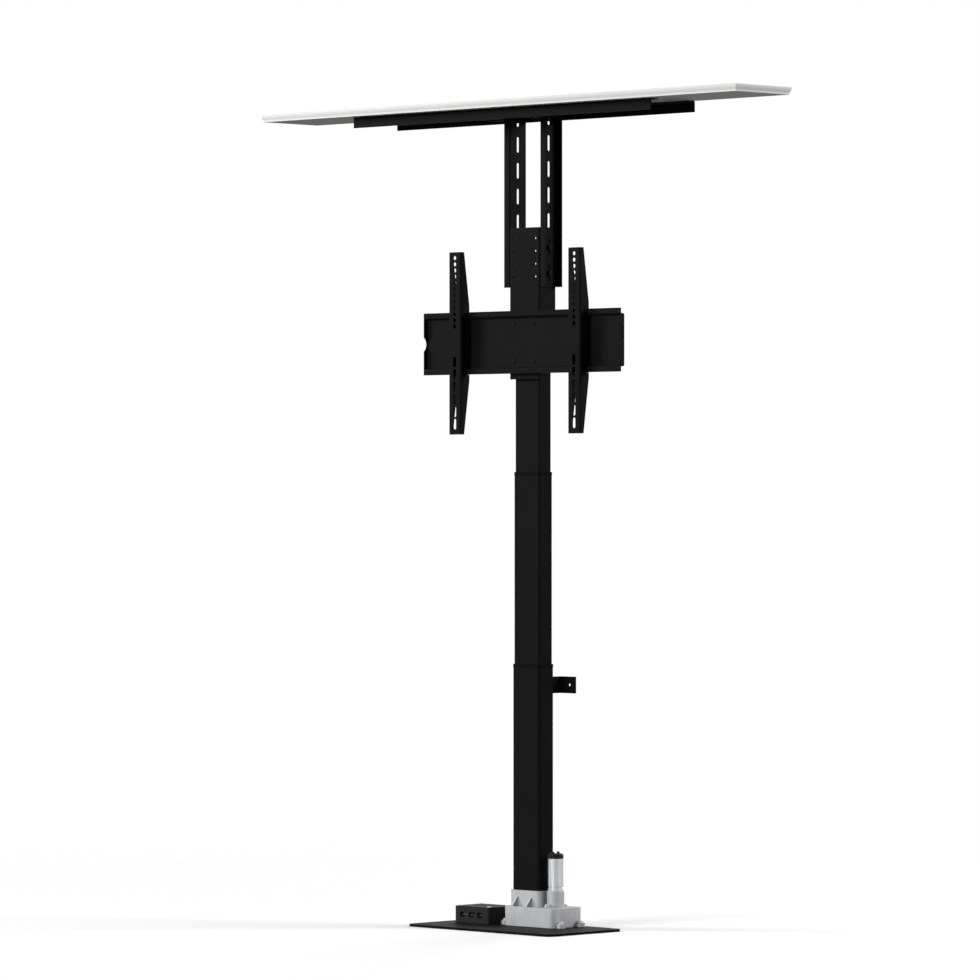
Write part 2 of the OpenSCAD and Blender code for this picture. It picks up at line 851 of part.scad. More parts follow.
module head_cap() {
    lug_z = inner_top + cap_t;
    cap_front = bracket_in_y + seat_clear;
    back_step = 1;
    cap_back = bracket_back - back_step;
    color(alloy) difference() {
        union() {
            translate([0, (cap_front + cap_back) / 2, inner_top]) linear_extrude(cap_t)
                round_rect(2 * cap_x, cap_back - cap_front, bend_r);
            foot_block(inner_w, inner_d, inner_corner, inner_top - cap_plug_h, cap_plug_h + eps);
            for (x = [-1, 1]) translate([x * (cap_x - cap_lug_w / 2), 0,
                lug_z + cap_lug_h / 2 - eps / 2])
                cube([cap_lug_w, cap_lug_d, cap_lug_h + eps], center = true);
        }
        drill_x(0, mast_bolt_z[0], bolt_r + run_clear, -bracket_w, bracket_w);
        for (y = [-1, 1]) drill_x(y * cap_screw_y, cap_screw_z, mid_r + tight_clear, -bracket_w,
            bracket_w);
    }
}

module at_cap_screws() {
    for (x = [-1, 1], y = [-1, 1])
        translate([x * bracket_w / 2, y * cap_screw_y, cap_screw_z]) rotate([0, -90 * x, 0]) children();
}

module head_cap_screws() {
    color(steel) at_cap_screws() {
        cylinder(h = sheet_t - flat_land, r1 = mid_head_r, r2 = mid_r);
        cylinder(h = sheet_t + cap_lug_w - thread_end, r = mid_r);
    }
}

module head_bracket() {
    half_t = sheet_t / 2;
    side_x = bracket_w / 2 - half_t;
    path = [[side_x, bracket_back], [side_x, bracket_y + half_t], [-side_x, bracket_y + half_t],
        [-side_x, bracket_back]];
    side_z = bracket_z + bracket_tongue;
    color(black) difference() {
        translate([0, 0, bracket_z]) linear_extrude(bracket_h) sheet(path);
        // The sides end above the web and are raked up towards the back
        along_x(bracket_w + 2 * eps) polygon([[bracket_in_y + bend_r, bracket_z - eps],
            [bracket_in_y + bend_r, side_z], [bracket_back + eps, side_z + bracket_d],
            [bracket_back + eps, bracket_z - eps]]);
        for (x = [-1, 1], i = [0 : web_holes - 1])
            drill_y(x * web_hole_x, bracket_top - web_hole_drop - i * web_hole_pitch, web_hole_r,
                bracket_y - eps, bracket_in_y + eps);
        for (z = mast_bolt_z) drill_x(0, z, bolt_r + run_clear, -bracket_w, bracket_w);
        at_cap_screws() {
            translate([0, 0, -eps]) cylinder(h = sheet_t + 2 * eps, r = mid_r + run_clear);
            translate([0, 0, -run_clear])
                cylinder(h = sheet_t - flat_land, r1 = mid_head_r + run_clear,
                    r2 = mid_r + run_clear);
        }
        at_crossbar_bolts() cylinder(h = 3 * sheet_t, r = mid_r + run_clear);
    }
}

crossbar_bolt_z = 45;
button_h = 1.8;
button_r = 6;
button_bevel = 1;

module at_crossbar_bolts() {
    for (x = [-1, 1], z = [-1, 1])
        translate([x * bracket_w / 3, crossbar_web_y, crossbar_mid + z * crossbar_bolt_z])
            rotate([-90, 0, 0]) children();
}

module crossbar_bolts() {
    color(black) at_crossbar_bolts() {
        cylinder(h = 2 * sheet_t, r = mid_r);
        translate([0, 0, -button_h]) rotate_extrude()
            polygon([[0, 0], [button_r - button_bevel, 0], [button_r, button_h / 2],
                [button_r, button_h], [0, button_h]]);
    }
}

module crossbar() {
    half_t = sheet_t / 2;
    front = band_y + half_t;
    back = bracket_y - half_t;
    low = crossbar_z + band_h - half_t;
    high = crossbar_top - band_h + half_t;
    notch_r = 21;
    notch_d = 8.5;
    path = [[front, crossbar_z], [front, low], [back, low], [back, high], [front, high], [front,
        crossbar_top]];
    color(black) difference() {
        union() {
            along_x(crossbar_w) sheet(path);
            for (x = [-1, 1]) translate([x * (crossbar_w - sheet_t) / 2, (band_y + back) / 2,
                crossbar_mid])
                cube([sheet_t, back - band_y, high - low], center = true);
        }
        drill_x(band_y + notch_d - notch_r, crossbar_mid, notch_r, -crossbar_w, crossbar_w);
        at_crossbar_bolts() translate([0, 0, -eps]) cylinder(h = 3 * sheet_t, r = mid_r + run_clear);
    }
}

// Screen arms

module arm(hand) {
    half_t = sheet_t / 2;
    side_x = arm_w / 2 - half_t;
    front = arm_y + half_t;
    tip_y = arm_y + arm_tip_d;
    path = [[side_x, crossbar_web_y], [side_x, front], [-side_x, front], [-side_x, crossbar_web_y]];
    // Outline of the sides, from the upper end down: hook over the upper band, recess, lower end
    band_front = band_y - move_clear;
    band_back = band_y + sheet_t + move_clear;
    recess_low = crossbar_z + band_h + move_clear;
    recess_high = crossbar_top - band_h - move_clear;
    outline = [[arm_y, arm_top], [tip_y, arm_top], [hook_back, crossbar_top + hook_rise],
        [hook_back, crossbar_top - hook_reach], [band_back, crossbar_top - hook_reach],
        [band_back, crossbar_top + move_clear], [band_front, crossbar_top + move_clear],
        [band_front, recess_high], [recess_back, recess_high], [recess_back, recess_low],
        [band_front, recess_low], [band_front, crossbar_z - move_clear],
        [hook_back, crossbar_z - move_clear], [hook_back, crossbar_z - hook_rise], [tip_y, arm_z],
        [arm_y, arm_z]];
    first_z = arm_top - arm_hole_inset;
    color(black) translate([hand * arm_x, 0, 0]) difference() {
        union() {
            intersection() {
                translate([0, 0, arm_z]) linear_extrude(arm_len) sheet(path);
                along_x(arm_w) polygon(outline);
            }
            block([-side_x, arm_y + half_t, lock_tab_z],
                [side_x, lock_y + lock_tab_past, lock_tab_z + sheet_t]);
        }
        for (i = [0 : arm_holes - 1])
            drill_y(0, first_z - i * arm_hole_pitch, arm_hole_r, arm_y - eps, arm_y + 2 * sheet_t);
        for (i = [0 : arm_slots - 1])
            slot_y(0, lowest_slot_z + i * arm_slot_pitch, arm_slot_r, arm_slot_len, arm_y - eps,
                arm_y + 2 * sheet_t);
        translate([0, lock_y, lock_tab_z - eps])
            cylinder(h = sheet_t + 2 * eps, r = mid_r + run_clear);
    }
}

module left_arm() {
    arm(-1);
}

module right_arm() {
    arm(1);
}

module arm_lock_screw(hand) {
    head_h = 5;
    head_z = lock_tab_z - head_h;
    color(steel) translate([hand * arm_x, lock_y, head_z]) {
        cylinder(h = head_h, r = mid_head_r, $fn = 6);
        cylinder(h = crossbar_z - move_clear - head_z, r = mid_r);
    }
}

module left_arm_lock_screw() {
    arm_lock_screw(-1);
}

module right_arm_lock_screw() {
    arm_lock_screw(1);
}

// Lid carrier

module mast_bolts() {
    washer_t = 1.6;
    washer_r = 8;
    head_x = mast_x + sheet_t + move_clear;
    shank_x = cap_x - cap_lug_w + thread_end;
    color(steel) for (x = [-1, 1], z = mast_bolt_z) translate([0, 0, z]) rotate([0, 90 * x, 0]) {
        translate([0, 0, head_x]) cylinder(h = washer_t, r = washer_r);
        translate([0, 0, head_x + washer_t]) cylinder(h = bolt_head_h, r = bolt_head_r, $fn = 6);
        translate([0, 0, shank_x]) cylinder(h = head_x + washer_t - shank_x, r = bolt_r);
    }
}

module mast_nuts() {
    nut_h = 6;
    nut_r = 7.5;
    color(steel) for (x = [-1, 1]) translate([0, 0, mast_bolt_z[1]]) rotate([0, 90 * x, 0])
        translate([0, 0, bracket_in_w / 2 - nut_h]) difference() {
            cylinder(h = nut_h, r = nut_r, $fn = 6);
            translate([0, 0, -eps]) cylinder(h = nut_h + 2 * eps, r = bolt_r + tight_clear);
        }
}

module mast_channel(hand) {
    half_t = sheet_t / 2;
    far_x = mast_x + mast_flange;
    side_y = mast_d / 2 - half_t;
    web_x = mast_x + half_t;
    path = [[hand * far_x, -side_y], [hand * web_x, -side_y], [hand * web_x, side_y],
        [hand * far_x, side_y]];
    low = hand > 0 ? mast_x - eps : -far_x;
    slots = floor((mast_len - mast_first) / mast_pitch);
    color(black) difference() {
        translate([0, 0, mast_z]) linear_extrude(mast_len) sheet(path);
        for (i = [0 : slots]) let(z = mast_slot_z + i * mast_pitch)
            slot_x(0, z - mast_slot_len / 2, min(z + mast_slot_len / 2, mast_top - mast_edge),
                mast_slot_r, low, low + mast_flange);
    }
}

module left_mast_channel() {
    mast_channel(-1);
}

module right_mast_channel() {
    mast_channel(1);
}

rail_fillet = bend_r + rail_t / 2;
member_front = -(rail_front - rail_fillet - move_clear);
member_back = rail_rear - rail_fillet - move_clear;
member_screw_y = [-(rail_front - rail_w / 2), rail_rear - rail_w / 2];
member_screw_x = member_x + member_w / 2 + 6;
top_bolt_z = mast_top - mast_edge - bolt_r;

module at_member_screws() {
    for (x = [-1, 1], y = member_screw_y) translate([x * member_screw_x, y, lid_z])
        mirror([0, 0, 1]) children();
}

module lid_member(hand) {
    half_t = sheet_t / 2;
    low = member_z - member_h;
    inner = hand * (member_x + half_t);
    outer = hand * (member_x + member_w - half_t);
    path = [[inner, low], [inner, member_z - half_t], [outer, member_z - half_t], [outer, low]];
    color(black) difference() {
        along_y(member_front, member_back) sheet(path);
        drill_x(0, top_bolt_z, mid_r + run_clear, -mast_x - eps, mast_x + eps);
        at_member_screws() cylinder(h = 4 * sheet_t, r = mid_r + tight_clear);
    }
}

module left_lid_member() {
    lid_member(-1);
}

module right_lid_member() {
    lid_member(1);
}

// Angle rail: a leg that hangs down and a leg that lies under the lid board
module lid_rail(edge, inwards) {
    half_t = rail_t / 2;
    upright_y = edge + inwards * half_t;
    path = [[upright_y, lid_z - rail_h], [upright_y, lid_z - half_t], [edge + inwards * rail_w,
        lid_z - half_t]];
    color(black) difference() {
        along_x(rail_len) sheet(path, rail_t);
        at_lid_screws() cylinder(h = lid_t, r = lid_screw_r + move_clear);
        at_member_screws() {
            translate([0, 0, -run_clear])
                cylinder(h = rail_t - flat_land, r1 = mid_head_r + run_clear, r2 = mid_r + run_clear);
            translate([0, 0, -eps]) cylinder(h = 2 * rail_t, r = mid_r + run_clear);
        }
    }
}

module front_lid_rail() {
    lid_rail(-rail_front, 1);
}

module rear_lid_rail() {
    lid_rail(rail_rear, -1);
}

module lid_member_screws() {
    color(steel) at_member_screws() {
        cylinder(h = rail_t - flat_land, r1 = mid_head_r, r2 = mid_r);
        cylinder(h = rail_t + sheet_t + thread_end, r = mid_r);
    }
}

module mast_top_bolts() {
    reach = mast_x + sheet_t;
    nut_h = 4;
    color(steel) for (x = [-1, 1]) translate([0, 0, top_bolt_z]) rotate([0, 90 * x, 0]) {
        translate([0, 0, member_x - nut_h]) cylinder(h = nut_h, r = mid_head_r, $fn = 6);
        translate([0, 0, member_x - thread_end])
            cylinder(h = reach - member_x + thread_end, r = mid_r);
        translate([0, 0, reach]) cylinder(h = bolt_head_h, r = bolt_head_r, $fn = 6);
    }
}

module at_lid_screws() {
    for (x = lid_screw_x, side = [-1, 1], y = member_screw_y)
        translate([side * x, y, member_z - lid_head_h]) children();
}

module lid_screws() {
    color(steel) at_lid_screws() {
        rotate_extrude() polygon([[0, 0], [lid_head_r - lid_head_bevel, 0],
            [lid_head_r, lid_head_bevel], [lid_head_r, lid_head_h], [0, lid_head_h]]);
        cylinder(h = lid_head_h + rail_t + lid_screw_bite, r = lid_screw_r);
    }
}

// Section of the lid board from edge a to edge b: the edges are rounded above and curve in below
module lid_section(a, b) {
    high = lid_z + lid_t;
    mid = high - lid_round;
    curve_r = (lid_t - lid_round) / sin(lid_tilt);
    curve = [for (i = [lid_edge_steps : -1 : 1]) let(t = lid_tilt * i / lid_edge_steps)
        [curve_r * (1 - cos(t)), mid - curve_r * sin(t)]];
    rim = [for (t = [0 : 15 : 90]) [lid_round * (1 - cos(t)), mid + lid_round * sin(t)]];
    edge = concat(curve, rim);
    polygon(concat([for (q = edge) [b - q.x, q.y]], [for (q = reversed(edge)) [a + q.x, q.y]]));
}

module lid_panel() {
    color(white) difference() {
        intersection() {
            along_x(lid_w) lid_section(lid_front, lid_back);
            along_y(lid_front, lid_back) lid_section(-lid_w / 2, lid_w / 2);
        }
        at_lid_screws() cylinder(h = lid_head_h + rail_t + lid_screw_bite + end_gap,
            r = lid_screw_r + tight_clear);
    }
}

base_plate();
gearbox_housing();
gearbox_cover();
gearbox_bolts();
lower_bearing();
upper_bearing();
motor_gearhead();
motor_can();
motor_end_cap();
motor_screws();
outer_tube();
outer_collar();
tube_clamp_screws();
wall_bracket();
control_box();
control_box_cover();
control_box_screws();
control_sockets();
drive_spindle();
spindle_gear();
motor_pinion();
middle_tube();
middle_collar();
middle_glide();
middle_nut();
middle_bearing();
hollow_spindle();
inner_tube();
inner_glide();
inner_nut();
head_cap();
head_cap_screws();
head_bracket();
crossbar();
crossbar_bolts();
mast_bolts();
mast_nuts();
left_arm();
right_arm();
left_arm_lock_screw();
right_arm_lock_screw();
left_mast_channel();
right_mast_channel();
left_lid_member();
right_lid_member();
front_lid_rail();
rear_lid_rail();
lid_member_screws();
mast_top_bolts();
lid_screws();
lid_panel();
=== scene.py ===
import math

import bmesh
import bpy
from mathutils import Matrix, Vector


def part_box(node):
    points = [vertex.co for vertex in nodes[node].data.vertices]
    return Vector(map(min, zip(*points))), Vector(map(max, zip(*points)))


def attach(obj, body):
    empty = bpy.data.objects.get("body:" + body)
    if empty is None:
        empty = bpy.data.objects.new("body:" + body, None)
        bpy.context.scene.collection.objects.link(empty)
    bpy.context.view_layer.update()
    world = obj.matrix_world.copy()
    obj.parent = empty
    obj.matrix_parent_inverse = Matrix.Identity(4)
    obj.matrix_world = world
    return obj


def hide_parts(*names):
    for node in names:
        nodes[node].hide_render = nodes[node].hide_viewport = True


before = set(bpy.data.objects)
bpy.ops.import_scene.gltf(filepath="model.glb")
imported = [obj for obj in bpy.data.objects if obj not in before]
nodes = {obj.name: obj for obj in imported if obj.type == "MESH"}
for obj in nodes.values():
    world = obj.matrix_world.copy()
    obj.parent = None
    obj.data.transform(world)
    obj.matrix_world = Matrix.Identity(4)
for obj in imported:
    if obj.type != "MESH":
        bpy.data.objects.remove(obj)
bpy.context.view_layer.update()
scene = bpy.context.scene
scene.view_settings.view_transform = "Standard"
mm = 0.001   # the settings of the pieces are in mm, everything else is in metres
print("frame loaded:", len(nodes), "nodes")


def addNode(tree, kind, values=None, **settings):
    # values go into the node's sockets, settings onto the node itself
    node = tree.nodes.new(kind)
    for name, value in settings.items():
        setattr(node, name, value)
    for name, value in (values or {}).items():
        node.inputs[name].default_value = value
    return node


def addLink(tree, fromNode, fromName, toNode, toName):
    tree.links.new(fromNode.outputs[fromName], toNode.inputs[toName])


def seenRays(tree):
    # 1 for what the camera sees straight, in a gloss or through glass
    path = addNode(tree, "ShaderNodeLightPath")
    most = path.outputs["Is Camera Ray"]
    for name in ("Is Glossy Ray", "Is Transmission Ray"):
        step = addNode(tree, "ShaderNodeMath", operation="MAXIMUM")
        tree.links.new(most, step.inputs[0])
        tree.links.new(path.outputs[name], step.inputs[1])
        most = step.outputs[0]
    return most


def turnTowards(thing, direction):
    thing.rotation_mode = "QUATERNION"
    thing.rotation_quaternion = Vector(direction).to_track_quat("-Z", "Y")


# camera at the photograph's height and angle
cameraSettings = {"place": (9.650, -9.796, 1.046), "look": (-0.7071, 0.7071, 0.0),
                  "lens": 211.2, "sensor": 36.0, "reach": 100}


def addCamera(s):
    camera = bpy.data.objects.new("camera", bpy.data.cameras.new("camera"))
    camera.data.lens = s["lens"]
    camera.data.sensor_width = s["sensor"]
    camera.data.clip_end = s["reach"]
    camera.location = s["place"]
    turnTowards(camera, s["look"])
    scene.collection.objects.link(camera)
    scene.camera = camera


# room: light above and dark below, and white where the camera looks at it
roomSettings = {"skyLight": 0.22, "groundLight": 0.03, "groundTo": -0.15, "skyFrom": 0.25}


def lightRoom(s):
    world = bpy.data.worlds.new("studio")
    scene.world = world
    world.use_nodes = True
    tree = world.node_tree
    background = tree.nodes["Background"]
    background.inputs["Color"].default_value = (1, 1, 1, 1)
    place = addNode(tree, "ShaderNodeTexCoord")
    split = addNode(tree, "ShaderNodeSeparateXYZ")
    addLink(tree, place, "Generated", split, "Vector")
    sky = addNode(tree, "ShaderNodeMapRange", {
        "From Min": s["groundTo"], "From Max": s["skyFrom"],
        "To Min": s["groundLight"], "To Max": s["skyLight"]})
    addLink(tree, split, "Z", sky, "Value")
    strength = addNode(tree, "ShaderNodeMapRange", {"To Max": 1.0})
    addLink(tree, sky, "Result", strength, "To Min")
    tree.links.new(seenRays(tree), strength.inputs["Value"])
    addLink(tree, strength, "Result", background, "Strength")


# floor: seen is its tone to the camera, bounce the tone that lights the object
floorSettings = {"radius": 3.6, "sides": 96, "fadeFrom": 1.0, "fadeTo": 3.4, "seen": 0.95, "bounce": 0.10}


def makeFloorFinish(name, s):
    mat = bpy.data.materials.new(name)
    mat.use_nodes = True
    tree = mat.node_tree
    tree.nodes.clear()
    out = addNode(tree, "ShaderNodeOutputMaterial")
    tone = addNode(tree, "ShaderNodeMapRange", {"To Min": s["bounce"], "To Max": s["seen"]})
    tree.links.new(seenRays(tree), tone.inputs["Value"])
    surface = addNode(tree, "ShaderNodeBsdfDiffuse")
    addLink(tree, tone, "Result", surface, "Color")
    clear = addNode(tree, "ShaderNodeBsdfTransparent")
    place = addNode(tree, "ShaderNodeTexCoord")
    far = addNode(tree, "ShaderNodeVectorMath", operation="LENGTH")
    addLink(tree, place, "Object", far, 0)
    fade = addNode(tree, "ShaderNodeMapRange", {"From Min": s["fadeFrom"], "From Max": s["fadeTo"]},
                   interpolation_type="SMOOTHSTEP")
    addLink(tree, far, "Value", fade, "Value")
    facing = addNode(tree, "ShaderNodeNewGeometry")
    hidden = addNode(tree, "ShaderNodeMath", operation="MAXIMUM")   # clear at the rim, and from below
    addLink(tree, fade, "Result", hidden, 0)
    addLink(tree, facing, "Backfacing", hidden, 1)
    mix = addNode(tree, "ShaderNodeMixShader")
    addLink(tree, hidden, "Value", mix, "Fac")
    addLink(tree, surface, 0, mix, 1)
    addLink(tree, clear, 0, mix, 2)
    addLink(tree, mix, 0, out, "Surface")
    return mat


def addFloor(s):
    bm = bmesh.new()
    bmesh.ops.create_circle(bm, cap_ends=True, segments=s["sides"], radius=s["radius"])
    floor = bpy.data.objects.new("floor", bpy.data.meshes.new("floor"))
    bm.to_mesh(floor.data)
    bm.free()
    floor.data.materials.append(makeFloorFinish("paleFloor", s))
    scene.collection.objects.link(floor)


lampSettings = {
    "key": {"place": (-8.0, -5.8, 4.4), "aim": (0, 0, 1.3), "size": 3.0, "power": 610},
    "front": {"place": (-0.6, -8.6, 3.6), "aim": (0, 0, 1.2), "size": 3.8, "power": 490},
    "side": {"place": (3.85, 3.2, 3.4), "aim": (0, 0, 1.2), "size": 2.0, "power": 205},
    "top": {"place": (0.4, -0.6, 6.5), "aim": (0, 0, 0), "size": 4.0, "power": 22},
    "rear": {"place": (-2.4, 6.4, 1.7), "aim": (0, 0, 1.1), "size": 2.8, "power": 250},
}


def addLamp(name, s):
    lamp = bpy.data.objects.new(name, bpy.data.lights.new(name, "AREA"))
    lamp.data.size = s["size"]
    lamp.data.energy = s["power"]
    lamp.location = s["place"]
    turnTowards(lamp, Vector(s["aim"]) - Vector(s["place"]))
    scene.collection.objects.link(lamp)


addCamera(cameraSettings)
lightRoom(roomSettings)
addFloor(floorSettings)
for lampName, settings in lampSettings.items():
    addLamp(lampName + "Lamp", settings)
print("stage built")

# finishes: dark and light are the ends of the colour's slow drift, grain and relief are the fine texture,
# the glint setting is painted highlight, lighter colour on the grain's high spots,
# and edge is how far corners look rounded, in mm
finishes = {
    "powderCoat": {
        "dark": (0.0057, 0.0057, 0.0057), "light": (0.0072, 0.0072, 0.0072),
        "drift": 7, "rough": (0.44, 0.56), "metal": 0, "specular": 0.018,
        "grain": 720, "relief": 0.55, "edge": 0.7, "paintedGlint": 0.010},
    "powderTube": {
        "dark": (0.0055, 0.0055, 0.0055), "light": (0.0068, 0.0068, 0.0068),
        "drift": 5, "rough": (0.40, 0.50), "metal": 0, "specular": 0.018,
        "grain": 900, "relief": 0.40, "edge": 0.5, "paintedGlint": 0.008},
    "blackOxide": {
        "dark": (0.0060, 0.0060, 0.0060), "light": (0.0084, 0.0084, 0.0084),
        "drift": 120, "rough": (0.42, 0.56), "metal": 0, "specular": 0.03,
        "grain": 900, "relief": 0.05, "edge": 0.3, "paintedGlint": 0.004},
    "grainedPlastic": {
        "dark": (0.010, 0.010, 0.0105), "light": (0.015, 0.015, 0.0157),
        "drift": 30, "rough": (0.5, 0.64), "metal": 0, "specular": 0.1,
        "grain": 1300, "relief": 0.60, "edge": 0.5, "paintedGlint": 0.014},
    # painted shade: a darker, duller copy of grainedPlastic, so the collars' lit tops render as a shaded
    # band
    "collarPaintedShade": {
        "dark": (0.0038, 0.0038, 0.0038), "light": (0.0050, 0.0050, 0.0050),
        "drift": 30, "rough": (0.5, 0.64), "metal": 0, "specular": 0.015,
        "grain": 1300, "relief": 0.60, "edge": 0.5, "paintedGlint": 0.006},
    "castAlloy": {
        "dark": (0.34, 0.345, 0.35), "light": (0.42, 0.425, 0.43),
        "drift": 34, "rough": (0.60, 0.74), "metal": 0.85, "specular": 0.4,
        "grain": 900, "relief": 0.55, "edge": 0.8, "paintedGlint": 0.07},
    "brightZinc": {
        "dark": (0.44, 0.45, 0.45), "light": (0.62, 0.62, 0.60),
        "drift": 120, "rough": (0.22, 0.36), "metal": 1, "specular": 0.5,
        "grain": 1200, "relief": 0.04, "edge": 0.3, "paintedGlint": 0.05},
    "drawnSteel": {
        "dark": (0.36, 0.37, 0.38), "light": (0.55, 0.56, 0.57),
        "drift": 40, "rough": (0.24, 0.38), "metal": 1, "specular": 0.5,
        "grain": 300, "relief": 0.05, "edge": 0.3, "paintedGlint": 0.04,
        "stretch": (6, 6, 0.15)},   # drawn out along the height
    "whiteAcetal": {
        "dark": (0.70, 0.69, 0.65), "light": (0.78, 0.77, 0.74),
        "drift": 20, "rough": (0.36, 0.46), "metal": 0, "specular": 0.45,
        "grain": 500, "relief": 0.04, "edge": 0.4, "paintedGlint": 0.0},
    "creamAcetal": {
        "dark": (0.62, 0.56, 0.41), "light": (0.74, 0.68, 0.52),
        "drift": 26, "rough": (0.36, 0.48), "metal": 0, "specular": 0.45,
        "grain": 500, "relief": 0.04, "edge": 0.4, "paintedGlint": 0.0},
    "whiteLacquer": {
        "dark": (0.759, 0.760, 0.738), "light": (0.789, 0.791, 0.769),
        "drift": 2.2, "rough": (0.70, 0.80), "metal": 0, "specular": 0.05,
        "grain": 260, "relief": 0.03, "edge": 0.8, "paintedGlint": 0.0},
}
# the same in every finish: spans are levels of the noise, reliefDepth is in mm
textureSettings = {"driftDetail": 4, "driftSpan": (0.32, 0.68), "grainDetail": 2, "paintedGlintSpan": (0.55, 0.8),
                   "paintedGlintMost": 0.6, "reliefDepth": 0.5, "edgeSamples": 4}


def makeFinish(name, s, texture):
    mat = bpy.data.materials.new(name)
    mat.use_nodes = True
    tree = mat.node_tree
    shader = tree.nodes["Principled BSDF"]
    shader.inputs["Metallic"].default_value = s["metal"]
    shader.inputs["Specular IOR Level"].default_value = s["specular"]
    place = addNode(tree, "ShaderNodeTexCoord")
    turn = addNode(tree, "ShaderNodeMapping", {"Scale": s.get("stretch", (1, 1, 1))})
    addLink(tree, place, "Object", turn, "Vector")
    drift = addNode(tree, "ShaderNodeTexNoise", {"Scale": s["drift"], "Detail": texture["driftDetail"]})
    addLink(tree, turn, "Vector", drift, "Vector")
    fine = addNode(tree, "ShaderNodeTexNoise", {"Scale": s["grain"], "Detail": texture["grainDetail"]})
    addLink(tree, turn, "Vector", fine, "Vector")

    colour = addNode(tree, "ShaderNodeValToRGB")
    stops = colour.color_ramp.elements
    for stop, level, tint in zip(stops, texture["driftSpan"], (s["dark"], s["light"])):
        stop.position = level
        stop.color = (*tint, 1)
    addLink(tree, drift, "Fac", colour, "Fac")
    # painted highlight: lighter colour added on the grain's high spots, where the bump stands up
    paintedGlintMask = addNode(tree, "ShaderNodeMapRange", {
        "From Min": texture["paintedGlintSpan"][0], "From Max": texture["paintedGlintSpan"][1],
        "To Max": texture["paintedGlintMost"]})
    addLink(tree, fine, "Fac", paintedGlintMask, "Value")
    speck = addNode(tree, "ShaderNodeMixRGB", {"Color2": (s["paintedGlint"],) * 3 + (1,)}, blend_type="ADD")
    addLink(tree, paintedGlintMask, "Result", speck, "Fac")
    addLink(tree, colour, "Color", speck, "Color1")
    addLink(tree, speck, "Color", shader, "Base Color")

    rough = addNode(tree, "ShaderNodeMapRange", {"To Min": s["rough"][0], "To Max": s["rough"][1]})
    addLink(tree, drift, "Fac", rough, "Value")
    addLink(tree, rough, "Result", shader, "Roughness")

    soft = addNode(tree, "ShaderNodeBevel", {"Radius": s["edge"] * mm}, samples=texture["edgeSamples"])
    bump = addNode(tree, "ShaderNodeBump", {
        "Strength": s["relief"], "Distance": texture["reliefDepth"] * mm})
    addLink(tree, fine, "Fac", bump, "Height")
    addLink(tree, soft, "Normal", bump, "Normal")
    addLink(tree, bump, "Normal", shader, "Normal")
    return mat


finishOf = {name: makeFinish(name, settings, textureSettings) for name, settings in finishes.items()}

nodeFinish = {
    "powderCoat": ["base_plate", "wall_bracket", "head_bracket", "crossbar", "left_arm", "right_arm",
                   "left_mast_channel", "right_mast_channel", "left_lid_member", "right_lid_member",
                   "front_lid_rail", "rear_lid_rail"],
    "powderTube": ["outer_tube", "middle_tube", "inner_tube"],
    "blackOxide": ["crossbar_bolts", "head_cap_screws", "left_arm_lock_screw", "right_arm_lock_screw",
                   "mast_bolts", "mast_top_bolts", "lid_screws"],
    "grainedPlastic": ["control_box", "control_box_cover", "control_sockets", "motor_end_cap"],
    "collarPaintedShade": ["outer_collar", "middle_collar"],
    "castAlloy": ["gearbox_housing", "gearbox_cover", "motor_gearhead", "head_cap"],
    "brightZinc": ["gearbox_bolts", "motor_screws", "tube_clamp_screws", "control_box_screws", "mast_nuts",
                   "lid_member_screws", "lower_bearing", "upper_bearing", "middle_bearing"],
    "drawnSteel": ["motor_can", "drive_spindle", "motor_pinion", "hollow_spindle"],
    "whiteAcetal": ["middle_glide", "inner_glide"],
    "creamAcetal": ["spindle_gear", "middle_nut", "inner_nut"],
    "whiteLacquer": ["lid_panel"],
}
for finish, nodeNames in nodeFinish.items():
    for nodeName in nodeNames:
        slots = nodes[nodeName].data.materials
        slots.clear()
        slots.append(finishOf[finish])
print("finishes set")

# detail pieces, with the places of the CAD solids that they stand for
mergeGap = 1e-6


def solidBoxes(node):
    # lowest and highest corner of each separate solid of a CAD node
    bm = bmesh.new()
    bm.from_mesh(nodes[node].data)
    bmesh.ops.remove_doubles(bm, verts=bm.verts, dist=mergeGap)
    boxes = []
    met = set()
    for start in bm.verts:
        if start in met:
            continue
        met.add(start)
        solid = [start]
        for vert in solid:   # the list grows until the whole solid is in it
            for other in (edge.other_vert(vert) for edge in vert.link_edges):
                if other not in met:
                    met.add(other)
                    solid.append(other)
        low, high = (Vector([pick(v.co[axis] for v in solid) for axis in range(3)]) for pick in (min, max))
        boxes.append((low, high))
    bm.free()
    return boxes


def finishPiece(bm, name, s, *replaced):
    bmesh.ops.remove_doubles(bm, verts=bm.verts, dist=mergeGap)
    bmesh.ops.recalc_face_normals(bm, faces=bm.faces)
    piece = bpy.data.objects.new(name, bpy.data.meshes.new(name))
    bm.to_mesh(piece.data)
    bm.free()
    piece.data.materials.append(finishOf[s["finish"]])
    scene.collection.objects.link(piece)
    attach(piece, s["body"])
    if replaced:
        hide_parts(*replaced)
    print("piece:", name, len(piece.data.polygons), "faces")
    return piece


def turnedTo(place, direction):
    # local +Z goes along the direction
    return Matrix.Translation(place) @ Vector(direction).to_track_quat("Z", "Y").to_matrix().to_4x4()


def topFace(verts):
    return max({face for v in verts for face in v.link_faces}, key=lambda face: face.calc_center_median().z)


